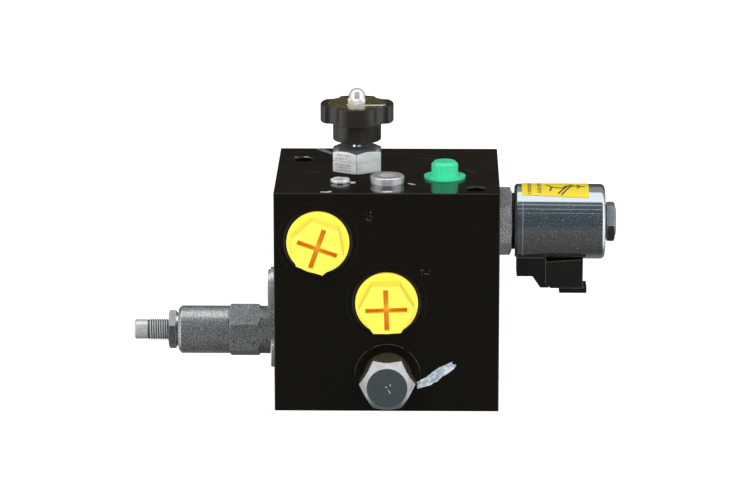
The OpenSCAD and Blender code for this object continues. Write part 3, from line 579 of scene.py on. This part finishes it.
def make_knob():
    full = knob_outline(0)
    rings = []

    def lobed(inset, z):
        rings.append([(x, y, z) for x, y in knob_outline(inset)])

    def circle(radius, z):
        rings.append([(x * radius / math.hypot(x, y), y * radius / math.hypot(x, y), z)
                      for x, y in full])

    for radius, z in ((STEM_HOLE_R, KNOB_FROM), (7.5, KNOB_FROM), (7.9, KNOB_FROM + 0.1),
                      (HUB_R - 0.5, 15.7), (HUB_R - 0.12, 15.95), (HUB_R, 16.4), (HUB_R, 25.2)):
        circle(radius, z)
    for across, along in arc(0.9, 180, 90, 3)[1:]:
        circle(HUB_R + 0.9 + across, KNOB_HEAD - 0.9 + along)
    for across, along in arc(KNOB_LOW_ROUND, -90, 0, 4):
        lobed(KNOB_LOW_ROUND - across, KNOB_HEAD + KNOB_LOW_ROUND + along)
    for across, along in arc(KNOB_TOP_ROUND, 0, 90, 6):
        lobed(KNOB_TOP_ROUND - across, KNOB_TO - KNOB_TOP_ROUND + along)
    circle(RECESS_R, KNOB_TO)
    circle(RECESS_R, RECESS_FLOOR)
    circle(STEM_HOLE_R, RECESS_FLOOR)
    make_piece("knob_body_moulding", *loft(rings), NEEDLE, "knob_body", "knob_black",
               ("control_knob",))


# Adjusting screw, in millimetres along the relief valve's axis
SCREW_FROM, SCREW_THREAD_FROM, SCREW_TO = 36.05, 47.0, 77.15
SCREW_ROOT_R, SCREW_CREST_R, SCREW_TIP_R = 5.05, 5.85, 5.25
SCREW_PITCH = 1.25
SCREW_SOCKET_FLAT, SCREW_SOCKET_DEPTH = 2.5, 5.0


def round_ring(radius, z, count=48):
    return [(radius * math.cos(2 * math.pi * j / count),
             radius * math.sin(2 * math.pi * j / count), z) for j in range(count)]


def hexagon_ring(flat, z, count=48):
    ring = []
    for j in range(count):
        a = 2 * math.pi * j / count
        r = flat / math.cos((a + math.pi / 6) % (math.pi / 3) - math.pi / 6)
        ring.append((r * math.cos(a), r * math.sin(a), z))
    return ring


def thread_ridge(start, stop, root, crest, pitch, per_turn=48):
    """Right-handed helical ridge that fades into its core at both ends."""
    steps = int((stop - start - 0.8 * pitch) / pitch * per_turn)
    rings = []
    for i in range(steps + 1):
        a = 2 * math.pi * i / per_turn
        z = start + 0.4 * pitch + pitch * i / per_turn
        rise = min(1, i / 24, (steps - i) / 24)
        top = root + (crest - root) * max(rise, 0.05)
        rings.append([(r * math.cos(a), r * math.sin(a), z + dz * pitch) for r, dz in (
            (root - 0.1, -0.46), (top - 0.08, -0.12), (top, -0.05), (top, 0.05),
            (top - 0.08, 0.12), (root - 0.1, 0.46))])
    return loft(rings, closed=False)


def make_screw():
    tip = SCREW_TO
    rings = [round_ring(0.01, SCREW_FROM), round_ring(5.3, SCREW_FROM),
             round_ring(SCREW_CREST_R, SCREW_FROM + 0.5),
             round_ring(SCREW_CREST_R, SCREW_THREAD_FROM - 0.6),
             round_ring(SCREW_ROOT_R, SCREW_THREAD_FROM),
             round_ring(SCREW_ROOT_R, SCREW_THREAD_TO - 0.3), round_ring(SCREW_TIP_R, SCREW_THREAD_TO),
             round_ring(SCREW_TIP_R, tip - 0.75), round_ring(SCREW_TIP_R - 0.12, tip - 0.5),
             round_ring(4.42, tip - 0.05), round_ring(4.25, tip), round_ring(2.95, tip),
             hexagon_ring(SCREW_SOCKET_FLAT, tip - 0.35),
             hexagon_ring(SCREW_SOCKET_FLAT, tip - SCREW_SOCKET_DEPTH),
             round_ring(0.01, tip - SCREW_SOCKET_DEPTH - 1)]
    core, skin = loft(rings, closed=False)
    ridge, ridge_skin = thread_ridge(SCREW_THREAD_FROM, SCREW_THREAD_TO, SCREW_ROOT_R,
                                     SCREW_CREST_R, SCREW_PITCH)
    skin += [tuple(v + len(core) for v in face) for face in ridge_skin]
    make_piece("adjusting_screw_threaded", core + ridge, skin, RELIEF, "screw_body", "screw_zinc",
               ("adjusting_screw",))


# Coil label, in millimetres along the solenoid's axis and degrees forward of the coil's top
LABEL_FROM, LABEL_TO = 12.25, 47.6
LABEL_FRONT_LEFT, LABEL_FRONT_RIGHT, LABEL_BACK = 32.3, 38.3, -62.0
COIL_R = (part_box("coil_shell")[1].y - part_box("coil_shell")[0].y) / 2 / MM
LABEL_R, LABEL_THICK = COIL_R + 0.05, 0.12


def on_coil(s, degrees, radius):
    """Point of the coil's skin: s along the axis, degrees forward of the top."""
    a = math.radians(degrees)
    return (-radius * math.cos(a), -radius * math.sin(a), s)


def curved_patch(corners, radius, thick, along, around):
    """Thin closed sheet on the coil between four corners (s, degrees), in order round it."""
    (s0, a0), (s1, a1), (s2, a2), (s3, a3) = corners
    points = []
    for level in (radius, radius + thick):
        for i in range(along + 1):
            u = i / along
            for j in range(around + 1):
                v = j / around
                s = (s0 * (1 - u) + s1 * u) * (1 - v) + (s3 * (1 - u) + s2 * u) * v
                a = (a0 * (1 - u) + a1 * u) * (1 - v) + (a3 * (1 - u) + a2 * u) * v
                points.append(on_coil(s, a, level))
    row = around + 1
    level = row * (along + 1)
    faces = []
    for i in range(along):
        for j in range(around):
            k = i * row + j
            faces.append((k, k + 1, k + row + 1, k + row))
            faces.append((level + k, level + k + row, level + k + row + 1, level + k + 1))
    edge = ([j for j in range(around)] + [i * row + around for i in range(along)]
            + [along * row + around - j for j in range(around)]
            + [(along - i) * row for i in range(along)])
    for k, here in enumerate(edge):
        there = edge[(k + 1) % len(edge)]
        faces.append((here, level + here, level + there, there))
    return points, faces


def join_parts(parts):
    points, faces = [], []
    for some_points, some_faces in parts:
        faces += [tuple(v + len(points) for v in face) for face in some_faces]
        points += some_points
    return points, faces


def make_label():
    corners = ((LABEL_FROM, LABEL_FRONT_LEFT), (LABEL_TO, LABEL_FRONT_RIGHT),
               (LABEL_TO, LABEL_BACK), (LABEL_FROM, LABEL_BACK))
    make_piece("coil_label_sheet", *curved_patch(corners, LABEL_R, LABEL_THICK, 12, 40), SOLENOID,
               "coil_assembly", "label_yellow", ("coil_label",))
    marks = []

    def stroke(s, a, length, width):
        """Mark that starts at (s, a) and is length along the coil and width degrees round it."""
        marks.append(curved_patch(((s, a), (s + length, a), (s + length, a - width), (s, a - width)),
                                  LABEL_R + LABEL_THICK, 0.02, 1, max(1, int(width / 3))))

    shuffle = random.Random(11)
    for column, start in ((15.2, 30), (20.4, 28)):
        a = start
        while a > -52:
            width = shuffle.choice((1.4, 2.2, 3.0))
            for side in (0, 1.25):
                if shuffle.random() < 0.75:
                    stroke(column + side, a, 0.6 if side else 0.85, width)
            stroke(column, a, 2.0, 1.3)
            a -= width + 1.3
    # Generic valve symbol: two crossed flow lines with arrow heads and a leader
    def slanted(start, end, width=0.95):
        """Mark of even width in millimetres between two points (s, degrees)."""
        (s0, a0), (s1, a1) = start, end
        per_degree = math.radians(1) * LABEL_R
        along, around = s1 - s0, (a1 - a0) * per_degree
        length = math.hypot(along, around)
        ds, da = around / length * width / 2, -along / length * width / 2 / per_degree
        corners = ((s0 + ds, a0 + da), (s1 + ds, a1 + da), (s1 - ds, a1 - da), (s0 - ds, a0 - da))
        marks.append(curved_patch(corners, LABEL_R + LABEL_THICK, 0.02, 6, 1))

    lines = (((24.8, 2), (28.0, 12)), ((28.0, 12), (27.0, 24)), ((27.6, 12), (33.5, 16)),
             ((33.5, 16), (36.0, 8)), ((36.0, 8), (45.7, 10)), ((41.2, 16), (43.2, 10)),
             ((41.2, 4), (43.2, 10)), ((31.3, 30), (38.4, 1)), ((33.0, 33), (39.6, 3)))
    for start, end in lines:
        slanted(start, end)
    make_piece("coil_label_marks", *join_parts(marks), SOLENOID, "coil_assembly", "print_brown")


# ---- Paint marks, scratches and painted highlights: thin ragged films on a flat face ----
SPOTFACE_R = 17.25  # radius of the painted highlight arcs on the check valve's spotface edge


def film(outline, lift, thick, ragged, seed, step=0.8):
    """Flat film with ragged edges: outline in the face's millimetres."""
    shuffle = random.Random(seed)
    edge = []
    for k, start in enumerate(outline):
        end = outline[(k + 1) % len(outline)]
        length = math.dist(start, end)
        parts = max(1, round(length / step))
        for i in range(parts):
            t = i / parts
            x = start[0] + (end[0] - start[0]) * t
            y = start[1] + (end[1] - start[1]) * t
            edge.append((x + shuffle.uniform(-ragged, ragged), y + shuffle.uniform(-ragged, ragged)))
    low = [(x, y, lift) for x, y in edge]
    high = [(x, y, lift + thick) for x, y in edge]
    return loft([low, high], closed=False)


def ribbon(points, width, lift, thick, seed):
    """Film along a line of points that tapers at its ends."""
    left, right = [], []
    for k, (x, y) in enumerate(points):
        ax, ay = points[max(0, k - 1)]
        bx, by = points[min(len(points) - 1, k + 1)]
        length = math.dist((ax, ay), (bx, by))
        nx, ny = (ay - by) / length, (bx - ax) / length
        half = width / 2 * (0.45 if k in (0, len(points) - 1) else 1)
        left.append((x + nx * half, y + ny * half))
        right.append((x - nx * half, y - ny * half))
    return film(left + right[::-1], lift, thick, width * 0.12, seed, max(0.5, width))


def make_paint():
    streak = [(15.9, 15.9), (18.6, 17.6), (21.4, 19.1), (23.3, 21.1), (27.9, 24.1), (31.6, 25.9),
              (34.4, 26.9), (34.0, 25.9), (36.4, 25.4), (35.4, 23.6), (33.7, 21.9), (29.2, 19.1),
              (26.7, 16.5), (22.5, 14.2), (19.0, 13.2), (16.2, 12.5)]
    front = [film(streak, 0.02, 0.12, 0.16, 3, 0.9)]
    make_piece("torque_paint_streak", *join_parts(front), FRONT, "manifold", "streak_paint")
    tick_rows = []
    shuffle = random.Random(5)
    for x0, z0, columns, rows in ((-12.2, 102.9, 6, 3), (17.4, 74.0, 6, 2)):
        for i in range(columns):
            for j in range(rows):
                if shuffle.random() < 0.6:
                    x = x0 + i * 0.95 + shuffle.uniform(-0.2, 0.2)
                    z = z0 + j * 1.9 + shuffle.uniform(-0.3, 0.3)
                    tick_rows.append(ribbon([(x, z), (x + shuffle.uniform(-0.3, 0.3), z + 0.9)],
                                            0.28, 0.01, 0.03, i * 7 + j))
    make_piece("front_face_ticks", *join_parts(tick_rows), FRONT, "manifold", "smear_paint")
    top = [film([(-34.6, -49.9), (-31.5, -50.3), (-28.6, -49.4), (-29.0, -47.2), (-31.5, -48.6),
                 (-34.2, -48.9)], 0.02, 0.06, 0.25, 21, 0.6),
           film([(-2.9, -49.6), (0.3, -50.2), (3.1, -49.2), (2.4, -46.9), (-0.6, -46.6),
                 (-2.4, -47.8)], 0.02, 0.06, 0.35, 22, 0.6),
           ribbon([(10.9, -29.6), (12.6, -31.0), (14.6, -32.4)], 1.5, 0.02, 0.06, 23),
           # Painted highlights: the next two films, on the far rim of the rear mounting hole, stand in
           # for the rim's glints.
           ribbon([(-50.2, 30.3), (-48.9, 30.1)], 1.3, 0.02, 0.05, 24),
           ribbon([(-45.6, 30.9), (-44.1, 30.4), (-42.9, 29.6)], 1.5, 0.02, 0.05, 25)]
    make_piece("top_paint_flecks_and_rim_glints", *join_parts(top), TOP, "manifold", "torque_paint")
    smear = [film([(-39.6, 50.6), (-36.0, 49.9), (-31.0, 42.5), (-30.2, 36.6), (-33.6, 40.2),
                   (-37.6, 46.6)], 0.02, 0.04, 0.3, 26, 1.2)]
    make_piece("top_paint_smear", *join_parts(smear), TOP, "manifold", "smear_paint")
    scratches = [((40, 3.5), (45, -3.6), (50.2, -9.9)), ((35.5, -2), (41, -8.4), (44.5, -14.5)),
                 ((-40, 5), (-36, 8.2), (-33, 9.4)), ((-43, -6), (-38, -4.2), (-35, -4.6)),
                 ((16, 30), (22, 27.2), (27, 26.8)), ((-6, 38), (1, 34.8), (6, 33.9))]
    lines = [ribbon(list(line), 0.16, 0.004, 0.012, 40 + k) for k, line in enumerate(scratches)]
    make_piece("top_scratches", *join_parts(lines), TOP, "manifold", "scuff_grey")
    line = film([(-5.4, -4.7), (-1, -5.1), (5, -5.0), (11, -4.9), (14.2, -4.4), (15.3, -5.2),
                 (13.8, -6.9), (8, -6.9), (2, -6.8), (-3, -6.4), (-5.2, -5.9)],
                35.3, 0.14, 0.15, 31, 0.9)
    make_piece("knob_paint_line", *line, NEEDLE, "knob_body", "torque_paint")
    vent = middle("vent_plug")
    blob = []
    for k in range(14):
        a = 2 * math.pi * k / 14
        reach = 5.1 if k % 3 else 4.4
        blob.append((vent.x / MM + reach * math.cos(a), vent.y / MM + reach * math.sin(a)))
    hole = [(vent.x / MM + 2.35 * math.cos(2 * math.pi * k / 14),
             vent.y / MM + 2.35 * math.sin(2 * math.pi * k / 14)) for k in range(14)]
    lift = (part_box("vent_plug")[1].z - BLOCK_HIGH.z) / MM
    rings = [[(x, y, z) for x, y in ring] for ring, z in (
        (hole, lift + 0.02), (hole, lift + 0.28), (blob, lift + 0.2), (blob, lift - 0.25))]
    make_piece("vent_plug_paint", *loft(rings), TOP, "manifold", "torque_paint")
    x, y = vent.x / MM, vent.y / MM
    beside = film([(x + 5.5, y - 3.4), (x + 7.6, y - 2.6), (x + 8.1, y - 0.4), (x + 6.6, y + 0.9),
                   (x + 5.5, y + 0.6)], 0.02, 0.06, 0.3, 33, 0.7)
    make_piece("vent_plug_smear", *beside, TOP, "manifold", "torque_paint")
    # Two punch dots and a stroke on the end of the check valve
    end = (BLOCK_LOW.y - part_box("check_body")[0].y) / MM
    dots = []
    for x, z, r in ((-0.4, 0.7, 0.42), (1.7, 1.75, 0.4)):
        disc = [(x + r * math.cos(a), z + r * math.sin(a)) for a in
                [2 * math.pi * k / 12 for k in range(12)]]
        dots.append(film(disc, end + 0.01, 0.05, 0.04, int(10 * r), 2))
    dots.append(ribbon([(0.5, -0.6), (1.2, -1.7), (1.75, -2.9)], 0.5, end + 0.01, 0.05, 8))
    make_piece("check_end_dots", *join_parts(dots), CHECK, "manifold", "scuff_light")


def make_spotface_highlight_arcs():
    """Painted highlight: light arcs along the upper edge of the check valve's spotface."""
    x0, z0 = CHECK.translation.x / MM, CHECK.translation.z / MM
    arcs = []
    for k, (low, high) in enumerate(((8, 52), (60, 118), (128, 176))):
        angles = [math.radians(low + (high - low) * i / 14) for i in range(15)]
        line = [(x0 + SPOTFACE_R * math.cos(a), z0 + SPOTFACE_R * math.sin(a)) for a in angles]
        arcs.append(ribbon(line, 0.3, 0.004, 0.02, 60 + k))
    make_piece("check_spotface_highlight_arcs", *join_parts(arcs), FRONT, "manifold", "scuff_grey")


def make_needle_ticks():
    """Rows of short strokes on the needle body's front left flat."""
    lean = math.radians(-120)
    out = Vector((math.cos(lean), math.sin(lean), 0))
    flat = (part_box("needle_body")[1].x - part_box("needle_body")[0].x) / 2
    place = axes((-out.y, out.x, 0), (0, 0, 1), NEEDLE.translation + out * flat)
    shuffle = random.Random(17)
    ticks = []
    for z, columns, height, share in ((8.6, 9, 1.1, 0.85), (6.9, 8, 0.7, 0.5), (3.4, 9, 1.1, 0.9),
                                      (2.0, 9, 1.1, 0.9), (0.7, 9, 0.9, 0.8)):
        for i in range(columns):
            for side in (0, 0.45):
                if shuffle.random() < share:
                    x = -5.4 + i * 1.05 + side
                    tilt = shuffle.uniform(-0.25, 0.25)
                    ticks.append(ribbon([(x, z), (x + tilt, z + height)], 0.48, 0.005, 0.02,
                                        100 + i))
    make_piece("needle_body_ticks", *join_parts(ticks), place, "manifold", "scuff_grey")


# Seal rings under the large port plugs: centre line and wire
SEAL_R, SEAL_WIRE_R = 17.55, 0.4


def make_port_seals():
    """Seal ring squeezed out round each large port plug's flange."""
    for name in ("upper_port_plug", "lower_port_plug"):
        centre = middle(name)
        place = axes((1, 0, 0), (0, 0, 1), (centre.x, BLOCK_LOW.y, centre.z))
        rings = []
        for k in range(72):
            a = 2 * math.pi * k / 72
            rings.append([((SEAL_R + x) * math.cos(a), (SEAL_R + x) * math.sin(a), z)
                          for x, z in arc(SEAL_WIRE_R, 0, 330, 11)])
        make_piece(name + "_seal", *loft(rings), place, "manifold", "glossy_seal")


make_knob()
make_screw()
make_label()
make_paint()
make_spotface_highlight_arcs()
make_needle_ticks()
make_port_seals()


# ---- Studio: floor, light and camera ----
# Brightness that metal sees round the object, in degrees from the front horizon over the top
STUDIO_RING = [
    (-180, (0.10, 0.10, 0.10)), (-135, (0.22, 0.22, 0.22)), (-100, (0.06, 0.06, 0.055)),
    (-30, (0.09, 0.09, 0.085)),
    (-14.5, (0.085, 0.105, 0.115)), (0, (0.06, 0.07, 0.075)), (15, (0.055, 0.075, 0.09)),
    (30, (0.06, 0.085, 0.105)), (37.5, (0.06, 0.08, 0.1)), (38.5, (0.5, 0.55, 0.6)),
    (39.5, (0.06, 0.08, 0.1)), (49.8, (0.07, 0.09, 0.11)), (50.8, (0.65, 0.7, 0.75)),
    (51.8, (0.07, 0.09, 0.11)), (63.5, (0.1, 0.12, 0.14)), (64.7, (0.9, 0.95, 1.0)),
    (66, (0.1, 0.12, 0.14)), (74, (0.12, 0.14, 0.16)), (77, (1.15, 1.2, 1.25)),
    (112, (1.15, 1.2, 1.25)), (117, (0.3, 0.3, 0.3)), (140, (0.3, 0.3, 0.3)),
    (154, (0.06, 0.055, 0.05)), (158.5, (0.1, 0.09, 0.08)), (161.5, (0.16, 0.145, 0.125)),
    (163.5, (0.03, 0.027, 0.023)), (180, (0.06, 0.06, 0.06))]


def world_node(tree, kind, inputs=None, output=0, **settings):
    node = tree.nodes.new("ShaderNode" + kind)
    for key, value in settings.items():
        setattr(node, key, value)
    for key, value in (inputs or {}).items():
        if isinstance(value, bpy.types.NodeSocket):
            tree.links.new(value, node.inputs[key])
        else:
            node.inputs[key].default_value = value
    return node.outputs[output]


def make_world():
    world = bpy.data.worlds.new("studio")
    bpy.context.scene.world = world
    world.use_nodes = True
    world.cycles.sampling_method = "NONE"
    tree = world.node_tree
    ray = world_node(tree, "TexCoord", output="Generated")
    parts = tree.nodes.new("ShaderNodeSeparateXYZ")
    tree.links.new(ray, parts.inputs[0])
    front = world_node(tree, "Math", {0: parts.outputs[1], 1: -1.0}, operation="MULTIPLY")
    angle = world_node(tree, "Math", {0: parts.outputs[2], 1: front}, operation="ARCTAN2")
    share = world_node(tree, "MapRange", {0: angle, 1: -math.pi, 2: math.pi, 3: 0.0, 4: 1.0})
    ramp = tree.nodes.new("ShaderNodeValToRGB")
    tree.links.new(share, ramp.inputs[0])
    stops = ramp.color_ramp.elements
    while len(stops) > 1:
        stops.remove(stops[-1])
    for index, (degrees, colour) in enumerate(STUDIO_RING):
        place = (degrees + 180) / 360
        stop = stops[0] if index == 0 else stops.new(place)
        stop.position = place
        stop.color = (*colour, 1)
    side = world_node(tree, "Math", {0: parts.outputs[0]}, operation="ABSOLUTE")
    side = world_node(tree, "MapRange", {0: side, 1: 0.5, 2: 0.72, 3: 0.0, 4: 1.0})
    ahead = world_node(tree, "MapRange", {0: front, 1: -0.35, 2: 0.05, 3: 0.25, 4: 1.0})
    side = world_node(tree, "Math", {0: side, 1: ahead}, operation="MULTIPLY")
    glossy = tree.nodes.new("ShaderNodeMix")
    glossy.data_type = "RGBA"
    tree.links.new(side, glossy.inputs[0])
    tree.links.new(ramp.outputs[0], glossy.inputs[6])
    glossy.inputs[7].default_value = (1.3, 1.33, 1.36, 1)
    path = tree.nodes.new("ShaderNodeLightPath")
    diffuse = tree.nodes.new("ShaderNodeMix")
    diffuse.data_type = "RGBA"
    tree.links.new(path.outputs["Is Diffuse Ray"], diffuse.inputs[0])
    tree.links.new(glossy.outputs[2], diffuse.inputs[6])
    diffuse.inputs[7].default_value = (0.6, 0.6, 0.6, 1)
    seen = tree.nodes.new("ShaderNodeMix")
    seen.data_type = "RGBA"
    tree.links.new(path.outputs["Is Camera Ray"], seen.inputs[0])
    tree.links.new(diffuse.outputs[2], seen.inputs[6])
    seen.inputs[7].default_value = (1, 1, 1, 1)
    tree.links.new(seen.outputs[2], tree.nodes["Background"].inputs[0])


def make_floor():
    low = CAD_BOX[0]
    half = 3.0
    mesh = bpy.data.meshes.new("floor")
    mesh.from_pydata([(-half, -half, 0), (half, -half, 0), (half, half, 0), (-half, half, 0)],
                     [], [(0, 1, 2, 3)])
    floor = bpy.data.objects.new("floor", mesh)
    bpy.context.scene.collection.objects.link(floor)
    floor.location.z = low[2] - 0.0002
    finish = Finish("floor_paper")
    seen = finish.add("LightPath", output="Is Camera Ray")
    finish.set(Base_Color=finish.mix(finish.noise(60, 2), (0.5, 0.5, 0.5), (0.54, 0.54, 0.54)),
               Roughness=0.9, Emission_Color=(1, 1, 1),
               Emission_Strength=finish.calc("MULTIPLY", seen, 0.9))
    mesh.materials.append(finish.material)
    floor.visible_glossy = False


def area_light(name, place, target, size, power):
    light = bpy.data.lights.new(name, "AREA")
    light.shape = "DISK"
    light.size = size
    light.energy = power
    lamp = bpy.data.objects.new(name, light)
    bpy.context.scene.collection.objects.link(lamp)
    lamp.location = place
    lamp.rotation_euler = (Vector(target) - Vector(place)).to_track_quat("-Z", "Y").to_euler()
    lamp.visible_camera = False
    lamp.visible_glossy = False
    return lamp


def make_lights():
    area_light("key", (-0.5, -1.5, 1.3), (0, 0, 0.06), 0.8, 14)
    area_light("fill", (0.9, -1.3, 0.5), (0, 0, 0.06), 0.9, 6)


def make_camera():
    camera = bpy.data.cameras.new("camera")
    camera.lens = 183.02
    camera.sensor_width = 36
    view = bpy.data.objects.new("camera", camera)
    bpy.context.scene.collection.objects.link(view)
    view.location = (0.0227, -1.9674, 0.5827)
    target = Vector((-0.00605, -0.052, 0.0873))
    view.rotation_euler = (target - view.location).to_track_quat("-Z", "Y").to_euler()
    bpy.context.scene.camera = view


make_world()
make_floor()
make_lights()
make_camera()
bpy.context.scene.view_settings.view_transform = "Standard"
